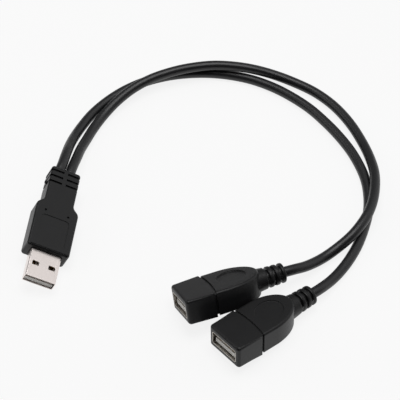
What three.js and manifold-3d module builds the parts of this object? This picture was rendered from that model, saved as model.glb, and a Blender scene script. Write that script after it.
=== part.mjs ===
// A splitter cable: one A plug whose neck lets out two short cords, each ending in an A socket.
// Millimetres, +Z up. The cable lies on a table at z = 0, plug to the left, sockets to the front.
// Each connector is built in a frame of its own: the mouth or the plug's shoulder is at y = 0,
// +Y runs along its axis towards the cord, +X across its width and +Z through its thickness.
import * as THREE from 'three';
import { mergeVertices } from 'three/addons/utils/BufferGeometryUtils.js';
import Module from 'manifold-3d';

const wasm = await Module();
wasm.setup();

// Clearances, and how far a cutting solid runs past what it cuts
const fit = 0.3;
const contactFit = 0.2;
const overrun = 1.0;

// Contacts, the same on plug and sockets
const contactWidth = 1.0;
const contactThickness = 0.25;
const contactTail = 0.9;
const innerPairPitch = 2.0;
const outerPitch = 2.5;

// Wires
const wireDiameter = 0.7;
const wireRowPitch = 1.0;
const wireSides = 6;
const wireSteps = 12;

// Plug shell
const sheet = 0.3;
const plugShellWidth = 12.0;
const plugShellHeight = 4.5;
const plugShellReach = 11.9;
const plugShellRoot = 6.0;
const plugShellCorner = 0.6;
const plugWindowWidth = 2.6;
const plugWindowLength = 1.8;
const plugWindowPitch = 6.4;
const plugWindowSetback = 5.0;

// Plug insulator and where its contacts start behind the shell's front edge
const plugInsulatorThickness = 1.75;
const plugInsulatorSetback = 0.5;
const plugPowerContactSetback = 1.6;
const plugDataContactSetback = 2.6;

// Plug overmould
const plugWidth = 16.9;
const plugThickness = 8.1;
const plugBodyLength = 20.0;
const plugShoulder = 2.3;
const plugNeckWidth = 11.8;
const plugLength = 38.4;
const plugEdgeRadius = 0.8;
const plugPanelWidth = 11.2;
const plugPanelFront = 1.9;
const plugPanelRear = 15.0;
const plugPanelCorner = 1.6;
const plugPanelDepth = 0.2;
const plugPinHoleDiameter = 0.95;
const plugPinHoleDepth = 0.7;
const plugPinHolePitch = 9.1;
const plugPinHoleY = 17.0;
const neckGrooveCount = 3;
const neckGroovePitch = 2.65;
const neckGrooveWidth = 1.1;
const neckGrooveDepth = 0.7;
const neckGrooveRearSetback = 2.1;
const neckBridgeWidth = 1.5;
const gateStubLength = 1.2;
const gateStubReach = 0.7;
const gateStubY = 32.3;

// Plug inner mould, which holds the joints between contacts and wires
const plugMouldWidth = 11.4;
const plugMouldThickness = 5.0;
const plugMouldLength = 12.0;

// Cords
const cordDiameter = 4.0;
const cordPitchAtPlug = 4.3;
const cordDepthInPlug = 6.9;
const cordDepthInSocket = 8.2;
const cordSides = 10;
const cordSteps = 38;

// Socket mouth and shell
const mouthWidth = 12.5;
const mouthHeight = 5.12;
const socketShellLength = 13.5;
const socketShellCorner = 0.7;

// Socket tongue
const tongueWidth = 11.1;
const tongueThickness = 1.84;
const tongueOffset = 0.66;
const tongueSetback = 0.9;
const tongueLength = 8.9;

// Socket spring fingers, pressed in from the shell's two wide walls
const fingerPitch = 6.0;
const fingerWidth = 1.8;
const fingerLength = 6.0;
const fingerFront = 2.2;
const fingerDip = 0.5;
const fingerTipDip = 0.2;
const fingerTipLength = 1.8;
const fingerSlot = 0.4;

// Socket contacts, which are springs: a hump rises from the tongue near its front
const socketContactSetback = 1.3;
const contactHumpHeight = 0.45;
const contactHumpLength = 3.6;

// Socket overmould
const socketWidth = 16.4;
const socketThickness = 9.7;
const socketGrooveY = 11.5;
const socketGrooveBow = 0.8;
const socketGrooveWidth = 0.8;
const socketGrooveDepth = 0.5;
const socketRoundStart = 18.0;
const socketRoundLength = 13.4;
const socketEdgeRadius = 1.0;
const ovalWidth = 9.6;
const ovalLength = 11.6;
const ovalY = 21.0;
const ovalDepth = 0.35;

// Socket strain relief, rooted in the round nose
const reliefRoot = 5.0;
const reliefLength = 9.8;
const reliefFrontDiameter = 8.3;
const reliefRearDiameter = 7.5;
const reliefGrooveCount = 3;
const reliefGroovePitch = 2.5;
const reliefGrooveWidth = 0.95;
const reliefGrooveDepth = 1.0;
const reliefRearSetback = 1.9;
const reliefBridge = 2.2;
const reliefBridgeTurn = 60;

// Socket inner mould, and the room that its wires have as far as this from the nose's end
const socketMouldWidth = 12.4;
const socketMouldThickness = 6.4;
const socketMouldLength = 5.2;
const wireRoomSetback = 3.0;

// How finely round shapes are divided
const boreSides = 24;
const reliefSides = 28;
const ovalSides = 28;
const pinHoleSides = 12;
const noseParts = 20;
const bowParts = 8;
const edgeParts = 3;
const panelCornerParts = 4;

// How the three connectors lie on the table: place of the frame's origin and turns in degrees
const plugPlace = { x: -45.88, y: 4.79, yaw: -7.5, pitch: 2.7, roll: 25.0 };
const frontSocketPlace = { x: 20.37, y: -36.81, yaw: -51.5, pitch: -4.6, roll: -7.4 };
const backSocketPlace = { x: 4.62, y: -19.01, yaw: -67.1, pitch: -2.0, roll: -26.6 };

// The front cord's route from the plug to the front socket: it lies on the table all the way
const frontCordRoute = [
  [-43.7, 36.2, 9.3], [-42.9, 42.4, 9.6], [-41.55, 47.4, 9.85], [-40.45, 54.2, 8.7],
  [-39.5, 61.2, 6.2], [-37.85, 68.5, 3.7], [-35.25, 75.3, 2.4], [-31.7, 81.7, 2.1],
  [-26.2, 88.4, 2.1], [-19.2, 94.7, 2.1], [-11.2, 99.6, 2.1], [-2.2, 102.9, 2.1],
  [6.8, 104.5, 2.1], [15.8, 104.7, 2.1], [24.8, 103.5, 2.1], [33.8, 100.8, 2.1],
  [42.3, 96.4, 2.1], [49.8, 90.9, 2.1], [56.8, 84.3, 2.1], [62.8, 76.7, 2.1],
  [67.8, 69.1, 2.1], [72.0, 61.2, 2.1], [75.0, 53.2, 2.1], [76.8, 45.7, 2.1],
  [77.3, 37.7, 2.1], [76.6, 29.7, 2.1], [74.6, 22.0, 2.1], [71.6, 13.7, 2.1],
  [68.0, 6.7, 2.1], [64.1, 0.9, 2.1], [60.2, -3.9, 2.6], [55.9, -8.5, 3.9],
  [51.9, -11.7, 4.3], [46.1, -16.3, 4.9],
];

// The back cord's route from the plug to the back socket: it passes twice over the front cord
const backCordRoute = [
  [-39.8, 35.8, 7.5], [-39.0, 42.0, 7.8], [-37.9, 47.0, 8.0], [-36.45, 53.7, 6.7],
  [-35.2, 60.2, 4.8], [-33.35, 66.7, 3.1], [-30.95, 73.2, 2.4], [-27.4, 79.9, 2.6],
  [-22.2, 86.7, 3.8], [-15.7, 93.0, 4.9], [-8.4, 97.8, 5.7], [-0.2, 101.3, 6.2],
  [7.8, 103.5, 6.5], [16.8, 104.8, 6.6], [25.3, 104.5, 6.5], [33.8, 103.5, 5.7],
  [42.3, 102.0, 4.0], [51.0, 98.9, 2.5], [59.3, 93.6, 2.1], [66.7, 85.8, 2.1],
  [72.7, 76.0, 2.1], [77.1, 64.9, 2.3], [79.3, 55.7, 3.3], [80.1, 46.7, 5.1],
  [79.4, 37.7, 6.1], [77.6, 29.7, 6.5], [74.4, 22.5, 6.5], [69.3, 15.7, 5.4],
  [63.3, 11.0, 3.2], [57.6, 6.7, 2.6], [51.8, 2.0, 4.4], [46.6, -1.2, 6.3],
  [41.8, -3.3, 6.9], [35.0, -6.2, 7.2],
];

// Sizes and places that follow from the ones above
const contactPlaces = [
  -innerPairPitch / 2 - outerPitch,
  -innerPairPitch / 2,
  innerPairPitch / 2,
  innerPairPitch / 2 + outerPitch,
];
const contactNames = ['ground', 'data_plus', 'data_minus', 'power'];
const wireNames = ['black', 'green', 'white', 'red'];
const rowPlaces = wireNames.map((name, i) => (i - (wireNames.length - 1) / 2) * wireRowPitch);
const wireSlotWidth = wireDiameter + 2 * fit;
const plugWireLayer = wireRowPitch / 2;
const plugWireRoomHeight = plugWireLayer + wireDiameter / 2 + fit;
const cordHoleDiameter = cordDiameter + 2 * fit;
const plugInsulatorBottom = -plugShellHeight / 2 + sheet + fit;
const plugInsulatorTop = plugInsulatorBottom + plugInsulatorThickness;
const plugMouldFrom = plugShellRoot + fit;
const plugMouldTo = plugMouldFrom + plugMouldLength;
const plugCordEnd = plugLength - cordDepthInPlug;
const socketShellWidth = mouthWidth + 2 * sheet;
const socketShellHeight = mouthHeight + 2 * sheet;
const tongueTop = -mouthHeight / 2 + tongueOffset + tongueThickness;
const socketContactTop = tongueTop - contactFit;
const socketWireZ = socketContactTop - contactThickness / 2;
const socketMouldFrom = socketShellLength + fit;
const socketMouldTo = socketMouldFrom + socketMouldLength;
const socketNoseEnd = socketRoundStart + socketRoundLength;
const socketLength = socketNoseEnd + reliefLength;
const socketCordEnd = socketLength - cordDepthInSocket;

// Materials
const blackPvc = new THREE.MeshStandardMaterial({ color: 0x1b1b1d, roughness: 0.5, metalness: 0 });
const cordPvc = new THREE.MeshStandardMaterial({ color: 0x222225, roughness: 0.42, metalness: 0 });
const nickelSteel = new THREE.MeshStandardMaterial({ color: 0xc9c4bb, roughness: 0.28, metalness: 1 });
const whiteResin = new THREE.MeshStandardMaterial({ color: 0xeeeae2, roughness: 0.45, metalness: 0 });
const goldPlate = new THREE.MeshStandardMaterial({ color: 0xc99b4a, roughness: 0.3, metalness: 1 });
const naturalResin = new THREE.MeshStandardMaterial({ color: 0xd9d5c8, roughness: 0.6, metalness: 0 });
const wireMaterials = {
  black: new THREE.MeshStandardMaterial({ color: 0x141414, roughness: 0.5, metalness: 0 }),
  green: new THREE.MeshStandardMaterial({ color: 0x1f7a3a, roughness: 0.5, metalness: 0 }),
  white: new THREE.MeshStandardMaterial({ color: 0xe8e8e4, roughness: 0.5, metalness: 0 }),
  red: new THREE.MeshStandardMaterial({ color: 0xb3202a, roughness: 0.5, metalness: 0 }),
};

// Turns a closed geometry into a solid that can be joined and cut
function solidOf(geometry) {
  geometry.deleteAttribute('normal');
  geometry.deleteAttribute('uv');
  const merged = mergeVertices(geometry, 1e-4);
  const mesh = new wasm.Mesh({
    numProp: 3,
    vertProperties: new Float32Array(merged.attributes.position.array),
    triVerts: new Uint32Array(merged.index.array),
  });
  return new wasm.Manifold(mesh);
}

// Turns a solid back into a geometry
function geometryOf(solid) {
  const mesh = solid.getMesh();
  const geometry = new THREE.BufferGeometry();
  geometry.setAttribute('position', new THREE.BufferAttribute(mesh.vertProperties, 3));
  geometry.setIndex(new THREE.BufferAttribute(mesh.triVerts, 1));
  geometry.computeVertexNormals();
  return geometry;
}

function join(first, ...others) {
  return others.reduce((sum, other) => sum.add(other), first);
}

function cut(first, ...others) {
  return others.reduce((rest, other) => rest.subtract(other), first);
}

// A box between two values on each axis
function block([x0, x1], [y0, y1], [z0, z1]) {
  const geometry = new THREE.BoxGeometry(x1 - x0, y1 - y0, z1 - z0);
  geometry.translate((x0 + x1) / 2, (y0 + y1) / 2, (z0 + z1) / 2);
  return solidOf(geometry);
}

// Points on part of an ellipse, its two ends included
function arc(centreX, centreY, radiusX, radiusY, from, to, parts) {
  const points = [];
  for (let i = 0; i <= parts; i += 1) {
    const angle = from + ((to - from) * i) / parts;
    const x = centreX + radiusX * Math.cos(angle);
    const y = centreY + radiusY * Math.sin(angle);
    points.push(new THREE.Vector2(x, y));
  }
  return points;
}

// The outline of a whole ellipse
function ellipse(centreX, centreY, radiusX, radiusY, sides) {
  const lastAngle = 2 * Math.PI * (1 - 1 / sides);
  return new THREE.Shape(arc(centreX, centreY, radiusX, radiusY, 0, lastAngle, sides - 1));
}

function roundedRectangle(width, height, radius, parts) {
  const x = width / 2 - radius;
  const y = height / 2 - radius;
  const quarter = Math.PI / 2;
  return new THREE.Shape([
    ...arc(x, y, radius, radius, 0, quarter, parts),
    ...arc(-x, y, radius, radius, quarter, 2 * quarter, parts),
    ...arc(-x, -y, radius, radius, 2 * quarter, 3 * quarter, parts),
    ...arc(x, -y, radius, radius, 3 * quarter, 4 * quarter, parts),
  ]);
}

// An outline in the connector's plan, given a thickness centred on its axis and rounded edges
function slab(shape, thickness, edgeRadius) {
  const geometry = new THREE.ExtrudeGeometry(shape, {
    depth: thickness - 2 * edgeRadius,
    bevelEnabled: edgeRadius > 0,
    bevelThickness: edgeRadius,
    bevelSize: edgeRadius,
    bevelOffset: -edgeRadius,
    bevelSegments: edgeParts,
  });
  geometry.translate(0, 0, edgeRadius - thickness / 2);
  return solidOf(geometry);
}

// A cross-section in x and z, drawn out along the connector's axis
function bar(shape, yFrom, yTo) {
  const geometry = new THREE.ExtrudeGeometry(shape, { depth: yTo - yFrom, bevelEnabled: false });
  geometry.rotateX(Math.PI / 2);
  geometry.translate(0, yTo, 0);
  return solidOf(geometry);
}

// A side profile in y and z, given a width centred on x
function strip(profile, width, x) {
  const shape = new THREE.Shape(profile.map(([y, z]) => new THREE.Vector2(y, z)));
  const geometry = new THREE.ExtrudeGeometry(shape, { depth: width, bevelEnabled: false });
  const sideways = new THREE.Matrix4().makeBasis(
    new THREE.Vector3(0, 1, 0),
    new THREE.Vector3(0, 0, 1),
    new THREE.Vector3(1, 0, 0),
  );
  geometry.applyMatrix4(sideways);
  geometry.translate(x - width / 2, 0, 0);
  return solidOf(geometry);
}

// A round bar or cone along the connector's axis
function round(diameterFrom, diameterTo, yFrom, yTo, sides, x = 0) {
  const geometry = new THREE.CylinderGeometry(diameterTo / 2, diameterFrom / 2, yTo - yFrom, sides);
  geometry.translate(x, (yFrom + yTo) / 2, 0);
  return solidOf(geometry);
}

// A round bar bent along a smooth curve through the points
function cordAlong(points, diameter, sides, steps) {
  const section = ellipse(0, 0, diameter / 2, diameter / 2, sides);
  const places = points.map((point) => new THREE.Vector3(...point));
  const path = new THREE.CatmullRomCurve3(places, false, 'catmullrom', 0.5);
  return new THREE.ExtrudeGeometry(section, { steps, extrudePath: path });
}

function addPiece(group, name, geometry, material) {
  const mesh = new THREE.Mesh(geometry, material);
  mesh.name = name;
  group.add(mesh);
}

// The plug's metal shell: a folded tube with two latch windows in each wide wall
function plugShell() {
  const outer = roundedRectangle(plugShellWidth, plugShellHeight, plugShellCorner, edgeParts);
  const inner = roundedRectangle(
    plugShellWidth - 2 * sheet,
    plugShellHeight - 2 * sheet,
    plugShellCorner - sheet,
    edgeParts,
  );
  const tube = cut(
    bar(outer, -plugShellReach, plugShellRoot),
    bar(inner, -plugShellReach - overrun, plugShellRoot + overrun),
  );
  const windows = [-1, 1].map((side) => {
    const centre = (side * plugWindowPitch) / 2;
    return block(
      [centre - plugWindowWidth / 2, centre + plugWindowWidth / 2],
      [-plugWindowSetback - plugWindowLength, -plugWindowSetback],
      [-plugShellHeight, plugShellHeight],
    );
  });
  return cut(tube, ...windows);
}

// The plug's insulator fills the lower half of the shell; each contact lies in a channel in its top
function plugInsulator() {
  const halfWidth = plugShellWidth / 2 - sheet - fit;
  const body = block(
    [-halfWidth, halfWidth],
    [-plugShellReach + plugInsulatorSetback, plugShellRoot],
    [plugInsulatorBottom, plugInsulatorTop],
  );
  const channels = contactPlaces.map((x, i) => block(
    [x - contactWidth / 2 - contactFit, x + contactWidth / 2 + contactFit],
    [plugContactFront(i) - contactFit, plugShellRoot + overrun],
    [plugInsulatorTop - contactThickness - contactFit, plugInsulatorTop + overrun],
  ));
  return cut(body, ...channels);
}

// The two outer contacts start nearer the shell's front edge, so that power meets first
function plugContactFront(i) {
  const outer = i === 0 || i === contactPlaces.length - 1;
  return -plugShellReach + (outer ? plugPowerContactSetback : plugDataContactSetback);
}

function plugContact(i) {
  return block(
    [contactPlaces[i] - contactWidth / 2, contactPlaces[i] + contactWidth / 2],
    [plugContactFront(i), plugShellRoot + contactTail],
    [plugInsulatorTop - contactThickness, plugInsulatorTop],
  );
}

// The inner mould behind a shell: a block with a slot for each contact's wires
function innerMould([width, thickness], [yFrom, yTo], [slotFrom, slotTo]) {
  const slots = contactPlaces.map((x) => block(
    [x - wireSlotWidth / 2, x + wireSlotWidth / 2],
    [yFrom - overrun, yTo + overrun],
    [slotFrom, slotTo],
  ));
  return cut(block([-width / 2, width / 2], [yFrom, yTo], [-thickness / 2, thickness / 2]), ...slots);
}

// The plug's overmould: wide body, sloping shoulders and a grooved neck, all one moulding
function plugHousing() {
  const wide = plugWidth / 2;
  const slim = plugNeckWidth / 2;
  const front = -2 * plugEdgeRadius;
  const outline = new THREE.Shape([
    new THREE.Vector2(-wide, front),
    new THREE.Vector2(wide, front),
    new THREE.Vector2(wide, plugBodyLength),
    new THREE.Vector2(slim, plugBodyLength + plugShoulder),
    new THREE.Vector2(slim, plugLength),
    new THREE.Vector2(-slim, plugLength),
    new THREE.Vector2(-slim, plugBodyLength + plugShoulder),
    new THREE.Vector2(-wide, plugBodyLength),
  ]);
  const flushFront = block([-plugWidth, plugWidth], [-plugWidth, 0], [-plugThickness, plugThickness]);
  const gateStub = block(
    [-slim - gateStubReach, -slim + overrun],
    [gateStubY - gateStubLength / 2, gateStubY + gateStubLength / 2],
    [-gateStubLength / 2, gateStubLength / 2],
  );
  return cut(
    join(cut(slab(outline, plugThickness, plugEdgeRadius), flushFront), gateStub),
    ...neckGrooves(),
    ...plugHousingRoom(),
    plugPanel(),
    ...plugPinHoles(),
  );
}

// Grooves run from beside the neck's centre line, round its side and back underneath
function neckGrooves() {
  const coreWidth = plugNeckWidth / 2 - neckGrooveDepth;
  const coreHeight = plugThickness / 2 - neckGrooveDepth;
  const grooves = [];
  for (let k = 0; k < neckGrooveCount; k += 1) {
    const y = plugLength - neckGrooveRearSetback - k * neckGroovePitch;
    const from = y - neckGrooveWidth / 2;
    const to = y + neckGrooveWidth / 2;
    for (const side of [-1, 1]) {
      const across = [(side * neckBridgeWidth) / 2, side * plugNeckWidth].sort((a, b) => a - b);
      grooves.push(cut(
        block(across, [from, to], [-plugThickness, plugThickness]),
        block([-coreWidth, coreWidth], [from - overrun, to + overrun], [-coreHeight, coreHeight]),
      ));
    }
  }
  return grooves;
}

// The room inside the overmould for shell, inner mould, wires and the two cord ends
function plugHousingRoom() {
  const wireRoom = cordPitchAtPlug / 2 + rowPlaces.at(-1) + wireDiameter / 2 + fit;
  return [
    block(
      [-plugShellWidth / 2 - fit, plugShellWidth / 2 + fit],
      [-overrun, plugMouldFrom],
      [-plugShellHeight / 2 - fit, plugShellHeight / 2 + fit],
    ),
    block(
      [-plugMouldWidth / 2 - fit, plugMouldWidth / 2 + fit],
      [plugMouldFrom - fit, plugMouldTo + fit],
      [-plugMouldThickness / 2 - fit, plugMouldThickness / 2 + fit],
    ),
    block([-wireRoom, wireRoom], [plugMouldTo, plugCordEnd], [-plugWireRoomHeight, plugWireRoomHeight]),
    ...[-1, 1].map((side) => round(
      cordHoleDiameter,
      cordHoleDiameter,
      plugCordEnd - fit,
      plugLength + overrun,
      boreSides,
      (side * cordPitchAtPlug) / 2,
    )),
  ];
}

// The shallow panel sunk in the plug's top
function plugPanel() {
  const length = plugPanelRear - plugPanelFront;
  const shape = roundedRectangle(plugPanelWidth, length, plugPanelCorner, panelCornerParts);
  const top = plugThickness / 2 - plugPanelDepth + overrun;
  return slab(shape, 2 * overrun, 0).translate([0, plugPanelFront + length / 2, top]);
}

// Two small holes in the plug's top, left by the pins that hold the inner mould in the tool
function plugPinHoles() {
  const radius = plugPinHoleDiameter / 2;
  const top = plugThickness / 2 - plugPinHoleDepth + overrun;
  return [-1, 1].map((side) => {
    const hole = slab(ellipse(0, 0, radius, radius, pinHoleSides), 2 * overrun, 0);
    return hole.translate([(side * plugPinHolePitch) / 2, plugPinHoleY, top]);
  });
}

// One wire in the plug, from a contact's tail to the end of the front or the back cord.
// The back cord's wires run in the upper layer and the front cord's in the lower one.
function plugWire(i, side) {
  const z = side * plugWireLayer;
  const x = (side * cordPitchAtPlug) / 2 + rowPlaces[i];
  const end = plugCordEnd - fit;
  const bend = (end - plugMouldTo) / 4;
  const places = [
    [contactPlaces[i], plugShellRoot + contactTail + fit, z],
    [contactPlaces[i], (plugMouldFrom + plugMouldTo) / 2, z],
    [contactPlaces[i], plugMouldTo + bend / 2, z],
    [x, end - bend, z],
    [x, end, z],
  ];
  return cordAlong(places, wireDiameter, wireSides, wireSteps);
}

function plug() {
  const group = new THREE.Group();
  const mould = innerMould(
    [plugMouldWidth, plugMouldThickness],
    [plugMouldFrom, plugMouldTo],
    [-plugWireRoomHeight, plugWireRoomHeight],
  );
  addPiece(group, 'plug_housing', geometryOf(plugHousing()), blackPvc);
  addPiece(group, 'plug_shell', geometryOf(plugShell()), nickelSteel);
  addPiece(group, 'plug_insulator', geometryOf(plugInsulator()), whiteResin);
  addPiece(group, 'plug_inner_mould', geometryOf(mould), naturalResin);
  contactNames.forEach((name, i) => {
    addPiece(group, `plug_${name}_contact`, geometryOf(plugContact(i)), goldPlate);
  });
  wireNames.forEach((name, i) => {
    addPiece(group, `plug_${name}_wire_front`, plugWire(i, -1), wireMaterials[name]);
    addPiece(group, `plug_${name}_wire_back`, plugWire(i, 1), wireMaterials[name]);
  });
  return group;
}

// A socket's shell: a folded tube with two spring fingers pressed inwards from each wide wall
function socketShell() {
  const outer = roundedRectangle(socketShellWidth, socketShellHeight, socketShellCorner, edgeParts);
  const inner = roundedRectangle(mouthWidth, mouthHeight, socketShellCorner - sheet, edgeParts);
  const tube = cut(
    bar(outer, 0, socketShellLength),
    bar(inner, -overrun, socketShellLength + overrun),
  );
  const slots = [-1, 1].map((side) => {
    const half = fingerWidth / 2 + fingerSlot;
    const centre = (side * fingerPitch) / 2;
    return block(
      [centre - half, centre + half],
      [fingerFront - fingerSlot, fingerFront + fingerLength],
      [-socketShellHeight, socketShellHeight],
    );
  });
  const fingers = [];
  for (const side of [-1, 1]) {
    for (const wall of [-1, 1]) {
      fingers.push(strip(fingerProfile(wall), fingerWidth, (side * fingerPitch) / 2));
    }
  }
  return join(cut(tube, ...slots), ...fingers);
}

// A finger's side profile: rooted in the wall at its rear, it dips into the mouth and turns up again
function fingerProfile(wall) {
  const outside = socketShellHeight / 2;
  const inside = mouthHeight / 2;
  const rear = fingerFront + fingerLength;
  const root = rear + sheet;
  const lowest = fingerFront + fingerTipLength;
  const points = [
    [root, outside],
    [rear, outside],
    [lowest, outside - fingerDip],
    [fingerFront, outside - fingerTipDip],
    [fingerFront, inside - fingerTipDip],
    [lowest, inside - fingerDip],
    [rear, inside],
    [root, inside],
  ].map(([y, z]) => [y, wall * z]);
  return wall > 0 ? points : points.reverse();
}

// A socket's insulator: a base that closes the shell's rear and the tongue that carries the contacts
function socketInsulator() {
  const halfWidth = mouthWidth / 2 - fit;
  const halfHeight = mouthHeight / 2 - fit;
  const baseFront = tongueSetback + tongueLength;
  const base = block([-halfWidth, halfWidth], [baseFront, socketShellLength], [-halfHeight, halfHeight]);
  const tongue = block(
    [-tongueWidth / 2, tongueWidth / 2],
    [tongueSetback, baseFront + overrun],
    [tongueTop - tongueThickness, tongueTop],
  );
  const floor = socketContactTop - contactThickness - contactFit;
  const channels = contactPlaces.map((x) => {
    const across = [x - contactWidth / 2 - contactFit, x + contactWidth / 2 + contactFit];
    return join(
      block(across, [socketContactSetback, baseFront], [floor, tongueTop + overrun]),
      block(across, [baseFront - overrun, socketShellLength + overrun], [floor, tongueTop]),
    );
  });
  return cut(join(base, tongue), ...channels);
}

// A socket contact's side profile: flat tail, straight run along the tongue and a spring hump
function socketContact(i) {
  const low = socketContactTop - contactThickness;
  const high = socketContactTop;
  const front = socketContactSetback + contactFit;
  const middle = front + contactHumpLength / 2;
  const rear = front + contactHumpLength;
  const tail = socketShellLength + contactTail;
  const profile = [
    [front, low],
    [middle, low + contactHumpHeight],
    [rear, low],
    [tail, low],
    [tail, high],
    [rear, high],
    [middle, high + contactHumpHeight],
    [front, high],
  ];
  return strip(profile, contactWidth, contactPlaces[i]);
}

// A socket's overmould: block, groove, round nose and ringed strain relief, all one moulding
function socketHousing() {
  const half = socketWidth / 2;
  const front = -2 * socketEdgeRadius;
  const outline = new THREE.Shape([
    new THREE.Vector2(-half, front),
    new THREE.Vector2(half, front),
    ...arc(0, socketRoundStart, half, socketRoundLength, 0, Math.PI, noseParts),
  ]);
  const flushMouth = block([-socketWidth, socketWidth], [-socketWidth, 0], [-socketWidth, socketWidth]);
  return cut(
    join(cut(slab(outline, socketThickness, socketEdgeRadius), flushMouth), strainRelief()),
    socketGroove(),
    socketOval(),
    ...socketHousingRoom(),
  );
}

// The groove round a socket's block bows towards the cord in the middle of the wide faces
function socketGroove() {
  const front = [];
  const rear = [];
  for (let k = 0; k <= bowParts; k += 1) {
    const x = socketWidth * (k / bowParts - 0.5);
    const middle = socketGrooveY + socketGrooveBow * (1 - (2 * x / socketWidth) ** 2);
    front.push(new THREE.Vector2(x, middle - socketGrooveWidth / 2));
    rear.unshift(new THREE.Vector2(x, middle + socketGrooveWidth / 2));
  }
  const ends = [-1, 1].map((side) => [-1, 1].map((edge) => new THREE.Vector2(
    side * socketWidth,
    socketGrooveY + (edge * socketGrooveWidth) / 2,
  )));
  const outline = new THREE.Shape([ends[0][0], ...front, ends[1][0], ends[1][1], ...rear, ends[0][1]]);
  const coreWidth = socketWidth / 2 - socketGrooveDepth;
  const coreHeight = socketThickness / 2 - socketGrooveDepth;
  const core = block([-coreWidth, coreWidth], [0, socketRoundStart], [-coreHeight, coreHeight]);
  return cut(slab(outline, 2 * socketThickness, 0), core);
}

// The shallow oval recess in a socket's top
function socketOval() {
  const recess = slab(ellipse(0, ovalY, ovalWidth / 2, ovalLength / 2, ovalSides), 2 * overrun, 0);
  return recess.translate([0, 0, socketThickness / 2 - ovalDepth + overrun]);
}

// Rings and slots of the strain relief: two bridges cross each slot, turned round on every second one
function strainRelief() {
  const cone = round(
    reliefFrontDiameter,
    reliefRearDiameter,
    socketNoseEnd - reliefRoot,
    socketLength,
    reliefSides,
  );
  const core = reliefRearDiameter - 2 * reliefGrooveDepth;
  const slots = [];
  for (let k = 0; k < reliefGrooveCount; k += 1) {
    const y = socketLength - reliefRearSetback - k * reliefGroovePitch;
    const from = y - reliefGrooveWidth / 2;
    const to = y + reliefGrooveWidth / 2;
    const ring = cut(
      round(2 * reliefFrontDiameter, 2 * reliefFrontDiameter, from, to, reliefSides),
      round(core, core, from - overrun, to + overrun, reliefSides),
    );
    const bridge = block(
      [-reliefFrontDiameter, reliefFrontDiameter],
      [from - overrun, to + overrun],
      [-reliefBridge / 2, reliefBridge / 2],
    );
    const turn = k % 2 === 0 ? 0 : -reliefBridgeTurn;
    slots.push(cut(ring, bridge.rotate([0, turn, 0])));
  }
  return cut(cone, ...slots);
}

// The room inside a socket's overmould for shell, inner mould, wires and cord end
function socketHousingRoom() {
  const wireRoom = contactPlaces.at(-1) + wireDiameter / 2 + fit;
  const wireRoomHeight = Math.abs(socketWireZ) + wireDiameter / 2 + fit;
  const wireRoomEnd = socketNoseEnd - wireRoomSetback;
  return [
    block(
      [-socketShellWidth / 2 - fit, socketShellWidth / 2 + fit],
      [-overrun, socketMouldFrom],
      [-socketShellHeight / 2 - fit, socketShellHeight / 2 + fit],
    ),
    block(
      [-socketMouldWidth / 2 - fit, socketMouldWidth / 2 + fit],
      [socketMouldFrom - fit, socketMouldTo + fit],
      [-socketMouldThickness / 2 - fit, socketMouldThickness / 2 + fit],
    ),
    block([-wireRoom, wireRoom], [socketMouldTo, wireRoomEnd], [-wireRoomHeight, wireRoomHeight]),
    round(cordHoleDiameter, cordHoleDiameter, wireRoomEnd - overrun, socketLength + overrun, boreSides),
  ];
}

// One wire in a socket, from a contact's tail to the cord's end
function socketWire(i) {
  const end = socketCordEnd - fit;
  const bend = (end - socketMouldTo) / 3;
  const places = [
    [contactPlaces[i], socketShellLength + contactTail + fit, socketWireZ],
    [contactPlaces[i], socketMouldTo, socketWireZ],
    [rowPlaces[i], end - 2 * bend, socketWireZ],
    [rowPlaces[i], end - bend, socketWireZ],
    [rowPlaces[i], end, socketWireZ],
  ];
  return cordAlong(places, wireDiameter, wireSides, wireSteps);
}

function socket(name) {
  const group = new THREE.Group();
  const mould = innerMould(
    [socketMouldWidth, socketMouldThickness],
    [socketMouldFrom, socketMouldTo],
    [socketWireZ - wireSlotWidth / 2, socketWireZ + wireSlotWidth / 2],
  );
  addPiece(group, `${name}_housing`, geometryOf(socketHousing()), blackPvc);
  addPiece(group, `${name}_shell`, geometryOf(socketShell()), nickelSteel);
  addPiece(group, `${name}_insulator`, geometryOf(socketInsulator()), whiteResin);
  addPiece(group, `${name}_inner_mould`, geometryOf(mould), naturalResin);
  contactNames.forEach((contact, i) => {
    addPiece(group, `${name}_${contact}_contact`, geometryOf(socketContact(i)), goldPlate);
  });
  wireNames.forEach((wire, i) => {
    addPiece(group, `${name}_${wire}_wire`, socketWire(i), wireMaterials[wire]);
  });
  return group;
}

// Lays a connector on the table: turned as placed, and lowered until its lowest point is at z = 0
function lay(group, place) {
  const radians = THREE.MathUtils.degToRad;
  group.rotation.set(radians(place.pitch), radians(place.roll), radians(place.yaw), 'ZXY');
  group.position.set(place.x, place.y, 0);
  const box = new THREE.Box3().setFromObject(group, true);
  group.position.z = -box.min.z;
  return group;
}

const cable = new THREE.Group();
cable.add(lay(plug(), plugPlace));
cable.add(lay(socket('front_socket'), frontSocketPlace));
cable.add(lay(socket('back_socket'), backSocketPlace));
addPiece(cable, 'front_cord', cordAlong(frontCordRoute, cordDiameter, cordSides, cordSteps), cordPvc);
addPiece(cable, 'back_cord', cordAlong(backCordRoute, cordDiameter, cordSides, cordSteps), cordPvc);

export default cable;
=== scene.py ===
# A splitter cable on a pale table: one plug, two cords and two sockets, seen from above its plug end.
import math

import bmesh
import bpy
import numpy as np
from mathutils import Euler, Matrix, Vector


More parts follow.
